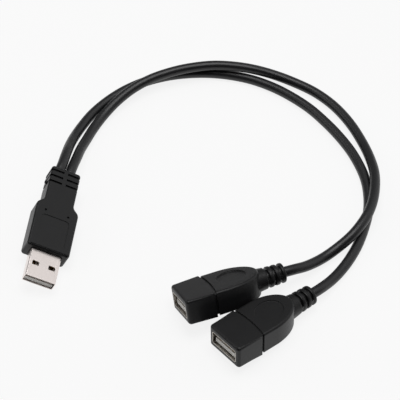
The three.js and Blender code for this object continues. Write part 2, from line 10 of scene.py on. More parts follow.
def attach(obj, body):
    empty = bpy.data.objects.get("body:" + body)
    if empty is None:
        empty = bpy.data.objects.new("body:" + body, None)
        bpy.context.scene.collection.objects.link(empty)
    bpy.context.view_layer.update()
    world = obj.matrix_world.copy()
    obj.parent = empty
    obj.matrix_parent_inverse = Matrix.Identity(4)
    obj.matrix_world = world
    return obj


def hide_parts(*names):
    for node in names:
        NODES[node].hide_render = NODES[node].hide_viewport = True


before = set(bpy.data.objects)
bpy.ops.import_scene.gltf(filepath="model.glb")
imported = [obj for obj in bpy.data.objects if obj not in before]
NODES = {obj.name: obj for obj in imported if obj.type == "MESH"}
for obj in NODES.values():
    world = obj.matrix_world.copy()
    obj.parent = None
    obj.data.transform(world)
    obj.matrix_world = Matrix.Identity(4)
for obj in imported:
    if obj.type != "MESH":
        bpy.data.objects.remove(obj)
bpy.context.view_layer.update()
MM = 0.001


# The camera looks down on the cable at 50 degrees with a long lens, its middle on the table
# beyond the plug. The picture is square, so one field of view holds both ways.
VIEW_TARGET = Vector((11.92, 37.69, 0.0)) * MM
VIEW_ELEVATION = math.radians(50.0)
VIEW_DISTANCE = 609.28 * MM
FOCAL_PIXELS = 1565.0
PICTURE_PIXELS = 400.0
camera_data = bpy.data.cameras.new("camera")
camera_data.angle = 2 * math.atan(PICTURE_PIXELS / 2 / FOCAL_PIXELS)
camera = bpy.data.objects.new("camera", camera_data)
bpy.context.scene.collection.objects.link(camera)
backwards = Vector((0, -math.cos(VIEW_ELEVATION), math.sin(VIEW_ELEVATION)))
camera.location = VIEW_TARGET + backwards * VIEW_DISTANCE
camera.rotation_euler = (math.pi / 2 - VIEW_ELEVATION, 0, 0)
bpy.context.scene.camera = camera


# Cord jacket: black PVC drawn through a die, soft and slightly glossy, with faint long draw marks
# and a little unevenness from the coil that the cord came off.
def make_group(name, inputs, outputs):
    """A shader node group with named float, colour or vector inputs and outputs."""
    group = bpy.data.node_groups.new(name, "ShaderNodeTree")
    for label, kind, value in inputs:
        socket = group.interface.new_socket(name=label, in_out="INPUT", socket_type="NodeSocket" + kind)
        socket.default_value = value
    for label, kind in outputs:
        group.interface.new_socket(name=label, in_out="OUTPUT", socket_type="NodeSocket" + kind)
    return group, group.nodes.new("NodeGroupInput"), group.nodes.new("NodeGroupOutput")


def node(tree, kind, sockets=None, **settings):
    """Adds a node, sets its settings, and gives its inputs values or links them to outputs."""
    made = tree.nodes.new(kind)
    for key, value in settings.items():
        setattr(made, key, value)
    for key, value in (sockets or {}).items():
        if isinstance(value, bpy.types.NodeSocket):
            tree.links.new(value, made.inputs[key])
        else:
            made.inputs[key].default_value = value
    return made


def sum_of(tree, operation, first, second):
    return node(tree, "ShaderNodeMath", {0: first, 1: second}, operation=operation).outputs[0]


# Moulded skin: two sizes of unevenness in one group. Broad cloud shifts the shade, grain is the
# tool's spark texture and gives the height, and both drive roughness.
def moulded_skin_group():
    group, given, out = make_group(
        "moulded_skin",
        [
            ("Vector", "Vector", (0, 0, 0)),
            ("Colour", "Color", (0.02, 0.02, 0.02, 1)),
            ("Shade change", "Float", 0.2),
            ("Cloud per metre", "Float", 150.0),
            ("Grain per metre", "Float", 4000.0),
            ("Roughness", "Float", 0.45),
            ("Roughness change", "Float", 0.1),
        ],
        [("Colour", "Color"), ("Roughness", "Float"), ("Height", "Float")],
    )
    place = given.outputs["Vector"]
    cloud = node(group, "ShaderNodeTexNoise", {
        "Vector": place, "Scale": given.outputs["Cloud per metre"], "Detail": 3.0, "Roughness": 0.55,
    }).outputs["Fac"]
    grain = node(group, "ShaderNodeTexNoise", {
        "Vector": place, "Scale": given.outputs["Grain per metre"], "Detail": 2.0, "Roughness": 0.6,
    }).outputs["Fac"]
    swing = sum_of(group, "SUBTRACT", cloud, 0.5)
    shade = sum_of(group, "MULTIPLY_ADD", swing, given.outputs["Shade change"])
    shade.node.inputs[2].default_value = 1.0
    colour = node(group, "ShaderNodeVectorMath", {0: given.outputs["Colour"]}, operation="SCALE")
    group.links.new(shade, colour.inputs["Scale"])
    mixed = sum_of(group, "ADD", sum_of(group, "MULTIPLY", swing, 0.6), sum_of(group, "SUBTRACT", grain, 0.5))
    rough = node(group, "ShaderNodeMath", {
        0: mixed, 1: given.outputs["Roughness change"], 2: given.outputs["Roughness"],
    }, operation="MULTIPLY_ADD")
    group.links.new(colour.outputs[0], out.inputs["Colour"])
    group.links.new(rough.outputs[0], out.inputs["Roughness"])
    group.links.new(grain, out.inputs["Height"])
    return group


MOULDED_SKIN = moulded_skin_group()


def start_material(name):
    """An empty node material with its output, its shader and Object coordinates."""
    material = bpy.data.materials.new(name)
    material.use_nodes = True
    tree = material.node_tree
    tree.nodes.clear()
    shader = node(tree, "ShaderNodeBsdfPrincipled")
    node(tree, "ShaderNodeOutputMaterial", {"Surface": shader.outputs[0]})
    place = node(tree, "ShaderNodeTexCoord").outputs["Object"]
    return material, tree, shader, place


def plastic(name, colour, roughness, shade_change=0.25, grain_height=0.012, level=0.5):
    """Moulded plastic: a shade with soft clouds, and a fine grain in roughness and height."""
    material, tree, shader, place = start_material(name)
    skin = node(tree, "ShaderNodeGroup", node_tree=MOULDED_SKIN)
    tree.links.new(place, skin.inputs["Vector"])
    skin.inputs["Colour"].default_value = (*colour, 1)
    skin.inputs["Shade change"].default_value = shade_change
    skin.inputs["Grain per metre"].default_value = 4200.0
    skin.inputs["Roughness"].default_value = roughness
    bump = node(tree, "ShaderNodeBump", {
        "Height": skin.outputs["Height"], "Strength": 0.6, "Distance": grain_height * MM,
    })
    tree.links.new(skin.outputs["Colour"], shader.inputs["Base Color"])
    tree.links.new(skin.outputs["Roughness"], shader.inputs["Roughness"])
    tree.links.new(bump.outputs[0], shader.inputs["Normal"])
    shader.inputs["Specular IOR Level"].default_value = level
    return material


def drawn_jacket(name, colour, roughness):
    """Extruded PVC: long draw marks follow the cord by its UV map, over soft clouds of shade."""
    material, tree, shader, place = start_material(name)
    skin = node(tree, "ShaderNodeGroup", node_tree=MOULDED_SKIN)
    tree.links.new(place, skin.inputs["Vector"])
    skin.inputs["Colour"].default_value = (*colour, 1)
    skin.inputs["Shade change"].default_value = 0.3
    skin.inputs["Cloud per metre"].default_value = 110.0
    skin.inputs["Roughness"].default_value = roughness
    along = node(tree, "ShaderNodeUVMap", uv_map="UVMap").outputs[0]
    stretched = node(tree, "ShaderNodeMapping", {"Vector": along, "Scale": (3.0, 46.0, 1.0)}).outputs[0]
    marks = node(tree, "ShaderNodeTexNoise", {
        "Vector": stretched, "Scale": 1.0, "Detail": 3.0,
    }).outputs["Fac"]
    height = sum_of(tree, "ADD", sum_of(tree, "MULTIPLY", skin.outputs["Height"], 0.4), marks)
    bump = node(tree, "ShaderNodeBump", {"Height": height, "Strength": 0.5, "Distance": 0.02 * MM})
    tree.links.new(skin.outputs["Colour"], shader.inputs["Base Color"])
    tree.links.new(skin.outputs["Roughness"], shader.inputs["Roughness"])
    tree.links.new(bump.outputs[0], shader.inputs["Normal"])
    return material


CORD_JACKET = drawn_jacket("cord_jacket", (0.0085, 0.0085, 0.0098), 0.38)
CORD_DIAMETER = 4.0

# The front cord comes down from the plug onto the table and rises again only at its socket. Its
# points are the CAD model's, in millimetres.
FRONT_CORD_ROUTE = [
    (-43.7, 36.2, 9.3), (-42.9, 42.4, 9.6), (-41.55, 47.4, 9.85), (-40.45, 54.2, 8.7),
    (-39.5, 61.2, 6.2), (-37.85, 68.5, 3.7), (-35.25, 75.3, 2.4), (-31.7, 81.7, 2.1),
    (-26.2, 88.4, 2.1), (-19.2, 94.7, 2.1), (-11.2, 99.6, 2.1), (-2.2, 102.9, 2.1),
    (6.8, 104.5, 2.1), (15.8, 104.7, 2.1), (24.8, 103.5, 2.1), (33.8, 100.8, 2.1),
    (42.3, 96.4, 2.1), (49.8, 90.9, 2.1), (56.8, 84.3, 2.1), (62.8, 76.7, 2.1),
    (67.8, 69.1, 2.1), (72.0, 61.2, 2.1), (75.0, 53.2, 2.1), (76.8, 45.7, 2.1),
    (77.3, 37.7, 2.1), (76.6, 29.7, 2.1), (74.6, 22.0, 2.1), (71.6, 13.7, 2.1),
    (68.0, 6.7, 2.1), (64.1, 0.9, 2.1), (60.2, -3.9, 2.6), (55.9, -8.5, 3.9),
    (51.9, -11.7, 4.3), (46.1, -16.3, 4.9),
]

# The back cord leaves beside it and passes twice over it in long low humps.
BACK_CORD_ROUTE = [
    (-39.8, 35.8, 7.5), (-39.0, 42.0, 7.8), (-37.9, 47.0, 8.0), (-36.45, 53.7, 6.7),
    (-35.2, 60.2, 4.8), (-33.35, 66.7, 3.1), (-30.95, 73.2, 2.4), (-27.4, 79.9, 2.6),
    (-22.2, 86.7, 3.8), (-15.7, 93.0, 4.9), (-8.4, 97.8, 5.7), (-0.2, 101.3, 6.2),
    (7.8, 103.5, 6.5), (16.8, 104.8, 6.6), (25.3, 104.5, 6.5), (33.8, 103.5, 5.7),
    (42.3, 102.0, 4.0), (51.0, 98.9, 2.5), (59.3, 93.6, 2.1), (66.7, 85.8, 2.1),
    (72.7, 76.0, 2.1), (77.1, 64.9, 2.3), (79.3, 55.7, 3.3), (80.1, 46.7, 5.1),
    (79.4, 37.7, 6.1), (77.6, 29.7, 6.5), (74.4, 22.5, 6.5), (69.3, 15.7, 5.4),
    (63.3, 11.0, 3.2), (57.6, 6.7, 2.6), (51.8, 2.0, 4.4), (46.6, -1.2, 6.3),
    (41.8, -3.3, 6.9), (35.0, -6.2, 7.2),
]


def smooth_route(points, steps):
    """Points on the smooth curve through a route, several for each of its stretches."""
    route = [np.array(point) for point in points]
    route = [2 * route[0] - route[1], *route, 2 * route[-1] - route[-2]]
    line = []
    for before, start, end, after in zip(route, route[1:], route[2:], route[3:]):
        leave, arrive = (end - before) / 2, (after - start) / 2
        for k in range(steps):
            t = k / steps
            line.append(
                (2 * t**3 - 3 * t**2 + 1) * start + (t**3 - 2 * t**2 + t) * leave
                + (3 * t**2 - 2 * t**3) * end + (t**3 - t**2) * arrive
            )
    return [*line, route[-2]]


def lay_cord(name, points, replaced):
    """One cord: a round tube along its route, which stands in for a CAD cord."""
    line = smooth_route(points, 8)
    curve = bpy.data.curves.new(name, "CURVE")
    curve.dimensions = "3D"
    curve.bevel_depth = CORD_DIAMETER / 2 * MM
    curve.bevel_resolution = 10
    curve.use_fill_caps = True
    spline = curve.splines.new("POLY")
    spline.points.add(len(line) - 1)
    for place, point in zip(line, spline.points):
        point.co = (*(place * MM), 1)
    cord = bpy.data.objects.new(name, curve)
    bpy.context.scene.collection.objects.link(cord)
    select_alone(cord)
    bpy.ops.object.convert(target="MESH")
    cord = bpy.context.object
    bpy.ops.object.shade_smooth_by_angle(angle=math.radians(60))
    cord.data.materials.clear()
    cord.data.materials.append(CORD_JACKET)
    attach(cord, "root")
    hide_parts(replaced)


def select_alone(piece):
    bpy.ops.object.select_all(action="DESELECT")
    piece.select_set(True)
    bpy.context.view_layer.objects.active = piece


lay_cord("front_cord_jacket", FRONT_CORD_ROUTE, "front_cord")
lay_cord("back_cord_jacket", BACK_CORD_ROUTE, "back_cord")


# Plug overmould: black PVC shot round the shell and the cords in one go. It has a wide body with a
# shallow plain panel, sloping shoulders, and a neck whose grooves let it bend with the cords.
# It is modelled in millimetres in the plug's own frame, then laid where the CAD plug lies.
HOUSING_PVC = plastic("housing_pvc", (0.0078, 0.0078, 0.0084), 0.40, level=0.32)


def turned(pitch, roll, yaw):
    """How a connector lies, from three angles in degrees."""
    return Euler((math.radians(pitch), math.radians(roll), math.radians(yaw)), "YXZ").to_matrix()


PLUG_TURN = turned(2.7, 25.0, -7.5)
PLUG_WIDTH, PLUG_THICKNESS, PLUG_BODY, PLUG_LENGTH = 16.9, 8.1, 20.0, 38.4
PLUG_SHOULDER, PLUG_NECK_WIDTH, PLUG_EDGE, PLUG_CORNER = 2.3, 11.8, 0.8, 1.1
PLUG_SHELL_REACH = 11.9


def own_box(name, turn):
    """Lowest and highest corner of a CAD node in a connector's own directions, in millimetres."""
    corners = np.empty(len(NODES[name].data.vertices) * 3)
    NODES[name].data.vertices.foreach_get("co", corners)
    own = corners.reshape(-1, 3) @ np.array(turn) / MM
    return Vector(own.min(0)), Vector(own.max(0))


def own_origin(shell, front, turn):
    """Where a connector's own origin lies: on the axis of its shell, which starts at y = front."""
    low, high = own_box(shell, turn)
    return turn @ Vector(((low.x + high.x) / 2, low.y - front, (low.z + high.z) / 2))


def set_down(piece, turn, origin):
    """Turns a piece from a connector's own frame into the row frame, and gives it its true size."""
    to_row = Matrix.Translation(origin * MM) @ turn.to_4x4() @ Matrix.Diagonal((MM, MM, MM, 1))
    piece.data.transform(to_row)


def box(name, low, high):
    """A box between two corners."""
    low, high = Vector(low), Vector(high)
    bpy.ops.object.select_all(action="DESELECT")
    bpy.ops.mesh.primitive_cube_add(size=1, location=(low + high) / 2, scale=high - low)
    bpy.context.object.name = name
    bpy.ops.object.transform_apply(location=True, rotation=True, scale=True)
    return bpy.context.object


def rod(name, radius, start, end, sides=64, radius_end=None, x=0.0):
    """A round bar or cone along y."""
    bpy.ops.object.select_all(action="DESELECT")
    bpy.ops.mesh.primitive_cone_add(
        vertices=sides,
        radius1=radius,
        radius2=radius if radius_end is None else radius_end,
        depth=end - start,
        location=(x, (start + end) / 2, 0),
        rotation=(-math.pi / 2, 0, 0),
    )
    bpy.context.object.name = name
    bpy.ops.object.transform_apply(location=True, rotation=True, scale=True)
    return bpy.context.object


def edit(piece, mode, test):
    """Opens a piece in edit mode with only the elements selected for which the test holds."""
    select_alone(piece)
    bpy.ops.object.mode_set(mode="EDIT")
    bpy.ops.mesh.select_mode(type=mode)
    bpy.ops.mesh.select_all(action="DESELECT")
    mesh = bmesh.from_edit_mesh(piece.data)
    for element in {"VERT": mesh.verts, "EDGE": mesh.edges, "FACE": mesh.faces}[mode]:
        if test(element):
            element.select_set(True)
    mesh.select_flush_mode()
    bmesh.update_edit_mesh(piece.data)


def close_edit():
    bpy.ops.object.mode_set(mode="OBJECT")


def middle(element):
    """The middle of a face or an edge."""
    return sum((vertex.co for vertex in element.verts), Vector()) / len(element.verts)


def modify(piece, kind, **settings):
    """Adds a modifier and applies it at once."""
    select_alone(piece)
    modifier = piece.modifiers.new(kind.lower(), kind)
    for key, value in settings.items():
        setattr(modifier, key, value)
    bpy.ops.object.modifier_apply(modifier=modifier.name)


def combine(piece, operation, *others):
    """Cuts other solids from a piece, or adds them to it, and removes them."""
    for other in others:
        modify(piece, "BOOLEAN", operation=operation, object=other, solver="EXACT")
        bpy.data.objects.remove(other)


def upright(e):
    """True for an edge that runs through a piece's thickness."""
    return abs(e.verts[0].co.z - e.verts[1].co.z) > 1


def lengthways(e):
    return abs(e.verts[0].co.y - e.verts[1].co.y) > 1


def round_edges(piece, width, segments=3, angle=40.0, test=None):
    """Rounds a piece's sharp edges, or only the sharp ones for which the test holds."""
    limit = math.radians(angle)
    edit(piece, "EDGE", lambda e: e.calc_face_angle(0.0) > limit and (test is None or test(e)))
    bpy.ops.mesh.bevel(offset=width, segments=segments, profile=0.5, affect="EDGES", clamp_overlap=False)
    close_edit()


SMALLEST_DETAIL, SMOOTH_BELOW = 0.003, 35.0


def finish_piece(piece, material, turn, origin, replaced):
    """Cleans, smooths, dresses and lays down a finished piece, which stands for a CAD node. It is
    cleaned and turned into triangles first, while its unit is a millimetre."""
    edit(piece, "VERT", lambda v: True)
    bpy.ops.mesh.remove_doubles(threshold=SMALLEST_DETAIL)
    bpy.ops.mesh.dissolve_degenerate(threshold=SMALLEST_DETAIL)
    bpy.ops.mesh.select_all(action="SELECT")
    bpy.ops.mesh.quads_convert_to_tris(quad_method="BEAUTY", ngon_method="BEAUTY")
    close_edit()
    set_down(piece, turn, origin)
    select_alone(piece)
    bpy.ops.object.shade_smooth_by_angle(angle=math.radians(SMOOTH_BELOW))
    modify(piece, "WEIGHTED_NORMAL", keep_sharp=True, weight=80)
    piece.data.materials.clear()
    piece.data.materials.append(material)
    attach(piece, "root")
    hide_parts(replaced)


PLUG_ORIGIN = own_origin("plug_shell", -PLUG_SHELL_REACH, PLUG_TURN)
half_width, half_height = PLUG_WIDTH / 2, PLUG_THICKNESS / 2
plug = box("plug_overmould", (-half_width, 0, -half_height), (half_width, PLUG_BODY, half_height))
edit(plug, "FACE", lambda f: f.normal.y > 0.9)
narrowing = (PLUG_NECK_WIDTH / PLUG_WIDTH, 1, 1)
bpy.ops.mesh.extrude_region_move(TRANSFORM_OT_translate={"value": (0, PLUG_SHOULDER, 0)})
bpy.ops.transform.resize(value=narrowing)
bpy.ops.mesh.extrude_region_move(
    TRANSFORM_OT_translate={"value": (0, PLUG_LENGTH - PLUG_BODY - PLUG_SHOULDER, 0)}
)
close_edit()
round_edges(plug, PLUG_CORNER, 5, 20, upright)
round_edges(plug, PLUG_EDGE, 5, 50)

# A gate stub, where the moulding was snapped off its runner
STUB_RADIUS, STUB_LENGTH, STUB_STANDS_OUT, STUB_Y = 0.62, 1.2, 0.2, 32.3
stub = rod("gate_stub", STUB_RADIUS, -STUB_LENGTH / 2, STUB_LENGTH / 2, 16)
round_edges(stub, 0.3, 3)
stub.data.transform(Matrix.Translation((-PLUG_NECK_WIDTH / 2 - STUB_STANDS_OUT, STUB_Y, 0)))
combine(plug, "UNION", stub)

# Grooves in the neck, open round it but for a web along the middle of its two wide faces
NECK_GROOVES, NECK_GROOVE_PITCH, NECK_GROOVE_SETBACK, NECK_GROOVE_WIDTH = 3, 2.65, 2.1, 1.0
NECK_WEB, NECK_GROOVE_SIDE_DEPTH, NECK_GROOVE_TOP_DEPTH, NECK_CORE_CORNER = 1.5, 0.45, 0.7, 0.6
core_x = PLUG_NECK_WIDTH / 2 - NECK_GROOVE_SIDE_DEPTH
core_z = PLUG_THICKNESS / 2 - NECK_GROOVE_TOP_DEPTH
for k in range(NECK_GROOVES):
    y = PLUG_LENGTH - NECK_GROOVE_SETBACK - NECK_GROOVE_PITCH * k
    front, rear = y - NECK_GROOVE_WIDTH / 2, y + NECK_GROOVE_WIDTH / 2
    for side in (-1, 1):
        near, far = sorted((side * NECK_WEB / 2, side * PLUG_NECK_WIDTH))
        clip = box("clip", (near, front, -PLUG_THICKNESS), (far, rear, PLUG_THICKNESS))
        core = box("core", (-core_x, y - 2, -core_z), (core_x, y + 2, core_z))
        round_edges(core, NECK_CORE_CORNER, 3, 60, lengthways)
        combine(clip, "DIFFERENCE", core)
        combine(plug, "DIFFERENCE", clip)

# The plain panel sunk in the top, and the two pin holes behind it
PANEL_WIDTH, PANEL_FRONT, PANEL_REAR, PANEL_DEPTH, PANEL_CORNER = 11.2, 1.9, 15.2, 0.2, 1.6
PIN_RADIUS, PIN_PITCH, PIN_Y, PIN_BAR = 0.475, 9.1, 17.2, 2.0
panel = box(
    "panel",
    (-PANEL_WIDTH / 2, PANEL_FRONT, half_height - PANEL_DEPTH),
    (PANEL_WIDTH / 2, PANEL_REAR, PLUG_THICKNESS),
)
round_edges(panel, PANEL_CORNER, 6, 60, upright)
combine(plug, "DIFFERENCE", panel)
for side in (-1, 1):
    pin = rod("pin", PIN_RADIUS, -PIN_BAR / 2, PIN_BAR / 2, 24)
    stand_up = Matrix.Rotation(math.pi / 2, 4, "X")
    pin.data.transform(Matrix.Translation((side * PIN_PITCH / 2, PIN_Y, half_height + 0.3)) @ stand_up)
    combine(plug, "DIFFERENCE", pin)

# Room for the shell, the inner mould with its wires, and the cords, which the plastic grips
CORD_GRIP = 1.97
combine(plug, "DIFFERENCE", box("shell_room", (-6.15, -1, -2.4), (6.15, 6.3, 2.4)))
combine(plug, "DIFFERENCE", box("mould_room", (-6, 6, -2.8), (6, 18.6, 2.8)))
combine(plug, "DIFFERENCE", box("wire_room", (-4.3, 18, -1.15), (4.3, 31.6, 1.15)))
for side in (-1, 1):
    combine(plug, "DIFFERENCE", rod("cord_room", CORD_GRIP, 31.2, 39.6, 48, x=side * 2.15))
finish_piece(plug, HOUSING_PVC, PLUG_TURN, PLUG_ORIGIN, "plug_housing")


# Plug shell: nickel-plated steel sheet folded into a flat tube, its two edges meeting underneath.
# Two latch windows are punched in each wide wall, and all its edges are softened slightly.
def metal(name, colour, roughness, scratch_roughness):
    """Plated sheet: clouds of roughness, and fine scratches that run mostly one way."""
    material, tree, shader, place = start_material(name)
    skin = node(tree, "ShaderNodeGroup", node_tree=MOULDED_SKIN)
    tree.links.new(place, skin.inputs["Vector"])
    skin.inputs["Colour"].default_value = (*colour, 1)
    skin.inputs["Shade change"].default_value = 0.08
    skin.inputs["Cloud per metre"].default_value = 260.0
    skin.inputs["Grain per metre"].default_value = 9000.0
    skin.inputs["Roughness"].default_value = roughness
    skin.inputs["Roughness change"].default_value = scratch_roughness
    stretched = node(tree, "ShaderNodeMapping", {
        "Vector": place, "Scale": (900.0, 9000.0, 9000.0),
    }).outputs[0]
    marks = node(tree, "ShaderNodeTexNoise", {
        "Vector": stretched, "Scale": 1.0, "Detail": 2.0,
    }).outputs["Fac"]
    bump = node(tree, "ShaderNodeBump", {"Height": marks, "Strength": 0.25, "Distance": 0.004 * MM})
    tree.links.new(skin.outputs["Colour"], shader.inputs["Base Color"])
    tree.links.new(skin.outputs["Roughness"], shader.inputs["Roughness"])
    tree.links.new(bump.outputs[0], shader.inputs["Normal"])
    shader.inputs["Metallic"].default_value = 1.0
    return material


NICKEL = metal("nickel_plate", (0.86, 0.79, 0.76), 0.30, 0.12)
SHEET = 0.3


def folded_tube(name, half_width, half_height, corner, start, end):
    """A flat tube of sheet, outside sizes given, with rounded corners along it."""
    tube = box(name, (-half_width, start, -half_height), (half_width, end, half_height))
    round_edges(tube, corner, 4, 60, lengthways)
    edit(tube, "FACE", lambda f: abs(f.normal.y) > 0.9)
    bpy.ops.mesh.delete(type="FACE")
    close_edit()
    modify(tube, "SOLIDIFY", thickness=SHEET, offset=-1)
    return tube


SHELL_WIDTH, SHELL_HEIGHT, SHELL_CORNER, SHELL_ROOT = 12.0, 4.5, 0.6, 6.0
WINDOW_PITCH, WINDOW_WIDTH, WINDOW_FRONT, WINDOW_REAR = 6.4, 2.6, -6.8, -5.0
plug_shell = folded_tube(
    "plug_shell_sheet", SHELL_WIDTH / 2, SHELL_HEIGHT / 2, SHELL_CORNER, -PLUG_SHELL_REACH, SHELL_ROOT
)
for side in (-1, 1):
    left, right = (side * WINDOW_PITCH / 2 + half * WINDOW_WIDTH / 2 for half in (-1, 1))
    window = box("window", (left, WINDOW_FRONT, -4), (right, WINDOW_REAR, 4))
    round_edges(window, 0.2, 3, 60, upright)
    combine(plug_shell, "DIFFERENCE", window)
combine(plug_shell, "DIFFERENCE", box("seam", (-0.03, -20, -3), (0.03, 20, -2)))
round_edges(plug_shell, 0.08, 2, 60)
finish_piece(plug_shell, NICKEL, PLUG_TURN, PLUG_ORIGIN, "plug_shell")


# Socket overmoulds: the same black PVC. Each is a block with a bowed groove round it, a round nose
# with a shallow oval thumb recess, and a strain relief of rings that bridges hold together.
SOCKET_WIDTH, SOCKET_THICKNESS, ROUND_START, ROUND_LENGTH = 16.4, 9.7, 18.0, 13.4
NOSE_END, RELIEF_LENGTH = ROUND_START + ROUND_LENGTH, 9.8
GROOVE_Y, GROOVE_BOW, GROOVE_WIDTH, GROOVE_DEPTH = 11.5, 0.8, 0.8, 0.5
MOUTH_CORNER, SOCKET_EDGE, GROOVE_LIP = 1.3, 1.0, 0.14
OVAL_WIDTH, OVAL_LENGTH, OVAL_Y, OVAL_DEPTH, OVAL_SOFT_EDGE = 9.6, 11.6, 21.0, 0.35, 0.25


def disc(name, radius, centre_y, low, high, sides):
    """A flat round solid whose axis is z."""
    bpy.ops.object.select_all(action="DESELECT")
    bpy.ops.mesh.primitive_cylinder_add(
        vertices=sides, radius=radius, depth=high - low, location=(0, centre_y, (low + high) / 2)
    )
    bpy.context.object.name = name
    bpy.ops.object.transform_apply(location=True, rotation=True, scale=True)
    return bpy.context.object


def socket_slab(name, half_width, half_height):
    """The block and its round nose in plan, given a thickness, with the mouth's corners rounded."""
    slab = disc(name, 1.0, 0.0, -half_height, half_height, 96)
    edit(slab, "VERT", lambda v: True)
    bpy.ops.transform.resize(value=(half_width, ROUND_LENGTH, 1))
    bpy.ops.transform.translate(value=(0, ROUND_START, 0))
    bpy.ops.mesh.bisect(
        plane_co=(0, ROUND_START, 0), plane_no=(0, 1, 0), clear_inner=True, use_fill=True
    )
    close_edit()
    edit(slab, "FACE", lambda f: f.normal.y < -0.9)
    bpy.ops.mesh.extrude_region_move(TRANSFORM_OT_translate={"value": (0, -ROUND_START, 0)})
    close_edit()
    round_edges(slab, MOUTH_CORNER, 5, 50, upright)
    return slab


def copy_of(piece, name):
    twin = piece.copy()
    twin.data = piece.data.copy()
    twin.name = name
    bpy.context.scene.collection.objects.link(twin)
    return twin


BOW_RADIUS = ((SOCKET_WIDTH / 2) ** 2 + GROOVE_BOW**2) / (2 * GROOVE_BOW)
BOW_CENTRE = GROOVE_Y + GROOVE_BOW - BOW_RADIUS
front_block = socket_slab("socket_overmould", SOCKET_WIDTH / 2, SOCKET_THICKNESS / 2)
nose_block = copy_of(front_block, "nose_block")
combine(front_block, "INTERSECT", disc("bow", BOW_RADIUS - GROOVE_WIDTH / 2, BOW_CENTRE, -9, 9, 96))
combine(nose_block, "DIFFERENCE", disc("bow", BOW_RADIUS + GROOVE_WIDTH / 2, BOW_CENTRE, -9, 9, 96))


def clear_of_groove(e):
    """True for an edge that isn't one of the bowed groove's lips."""
    walls = [face for face in e.link_faces if abs(face.normal.z) < 0.1]
    return not any(abs(face.normal.y) > 0.8 and 5 < middle(face).y < ROUND_START for face in walls)


for part in (front_block, nose_block):
    round_edges(part, SOCKET_EDGE, 5, 50, clear_of_groove)
    round_edges(part, GROOVE_LIP, 2, 50)

neck_block = box(
    "neck_block",
    (-SOCKET_WIDTH / 2 + GROOVE_DEPTH, 5, -SOCKET_THICKNESS / 2 + GROOVE_DEPTH),
    (SOCKET_WIDTH / 2 - GROOVE_DEPTH, ROUND_START, SOCKET_THICKNESS / 2 - GROOVE_DEPTH),
)
round_edges(neck_block, 0.8, 4, 60, lengthways)

# The strain relief's rings taper towards the cord; each slot between two rings has two bridges,
# and a collar swells where the relief grows out of the nose
RELIEF_FRONT, RELIEF_REAR, RING_GAP, RING_PITCH, REAR_RING = 4.2, 3.75, 0.95, 2.5, 1.9
SLOT_MIDDLES = [NOSE_END + RELIEF_LENGTH - REAR_RING - RING_PITCH * k for k in (2, 1, 0)]
ring_edges = [NOSE_END - 5.0]
for slot_middle in SLOT_MIDDLES:
    ring_edges += [slot_middle - RING_GAP / 2, slot_middle + RING_GAP / 2]
ring_edges.append(NOSE_END + RELIEF_LENGTH)


def relief_radius(y):
    share = (y - NOSE_END) / RELIEF_LENGTH
    return RELIEF_FRONT + (RELIEF_REAR - RELIEF_FRONT) * share


relief_parts = [
    rod("relief_core", 2.95, NOSE_END - 4, NOSE_END + RELIEF_LENGTH - 0.4, 64),
    rod("collar", 4.72, NOSE_END - 3.4, NOSE_END + 1.3, 64, relief_radius(NOSE_END) - 0.02),
]
for start, end in zip(ring_edges[::2], ring_edges[1::2]):
    ring = rod("ring", relief_radius(start), start, end, 64, relief_radius(end))
    round_edges(ring, 0.42, 4, 50)
    relief_parts.append(ring)
for k, slot_middle in enumerate(SLOT_MIDDLES):
    radius = relief_radius(slot_middle) - 0.3
    bridge = box("bridge", (-radius, slot_middle - 1, -0.9), (radius, slot_middle + 1, 0.9))
    turn = math.radians(60) if k == 1 else 0.0
    bridge.data.transform(Matrix.Rotation(turn, 4, "Y"))
    relief_parts.append(bridge)

combine(front_block, "UNION", neck_block, nose_block, *relief_parts)

# The shallow oval thumb recess, with a soft edge round its floor
oval = disc("oval", 1.0, 0.0, 0.0, 1.0, 96)
edit(oval, "VERT", lambda v: True)
bpy.ops.transform.resize(value=(OVAL_WIDTH / 2, OVAL_LENGTH / 2, 1))
bpy.ops.transform.translate(value=(0, OVAL_Y, SOCKET_THICKNESS / 2 - OVAL_DEPTH))
close_edit()
round_edges(oval, OVAL_SOFT_EDGE, 3, 60, lambda e: middle(e).z < SOCKET_THICKNESS / 2)
combine(front_block, "DIFFERENCE", oval)

# Room for the shell, the inner mould with its wires, and the cord
combine(front_block, "DIFFERENCE", box("shell_room", (-6.62, -1, -2.93), (6.62, 13.8, 2.93)))
combine(front_block, "DIFFERENCE", box("mould_room", (-6.5, 13.5, -3.5), (6.5, 19.3, 3.5)))
combine(front_block, "DIFFERENCE", box("wire_room", (-4.15, 19, -1.1), (4.15, 28.4, 1.1)))
combine(front_block, "DIFFERENCE", rod("cord_room", CORD_GRIP, 28.0, 43.0, 48))

SOCKETS = {"front_socket": turned(-4.6, -7.4, -51.5), "back_socket": turned(-2.0, -26.6, -67.1)}
SOCKET_ORIGINS = {name: own_origin(name + "_shell", 0.0, turn) for name, turn in SOCKETS.items()}
for name, turn in SOCKETS.items():
    piece = copy_of(front_block, name + "_overmould")
    finish_piece(piece, HOUSING_PVC, turn, SOCKET_ORIGINS[name], name + "_housing")
bpy.data.objects.remove(front_block)


# Socket shells: plated steel sheet folded into a flat tube round the mouth, coloured darker than the
# plug's nickel as painted shade for the dark inside of the mouths. Two fingers are cut
# free in each wide wall and bent inwards, where they press on a plug's shell and hold it.
# A darker, duller copy of the plated metal: its dark colour is painted shade inside the socket mouths.
SHELL_PAINTED_SHADE = metal("socket_shell_painted_shade", (0.50, 0.47, 0.43), 0.36, 0.16)
MOUTH_SHELL_WIDTH, MOUTH_SHELL_HEIGHT, MOUTH_SHELL_LENGTH, MOUTH_SHELL_CORNER = 13.1, 5.72, 13.5, 0.7
FINGER_WIDTH, FINGER_TIP, FINGER_BEND, FINGER_ROOT, FINGER_SLOT = 1.8, 2.2, 4.0, 8.2, 0.4
FINGER_PITCH, FINGER_DIP, FINGER_TIP_DIP, FINGER_STATIONS = 6.0, 0.5, 0.2, 14


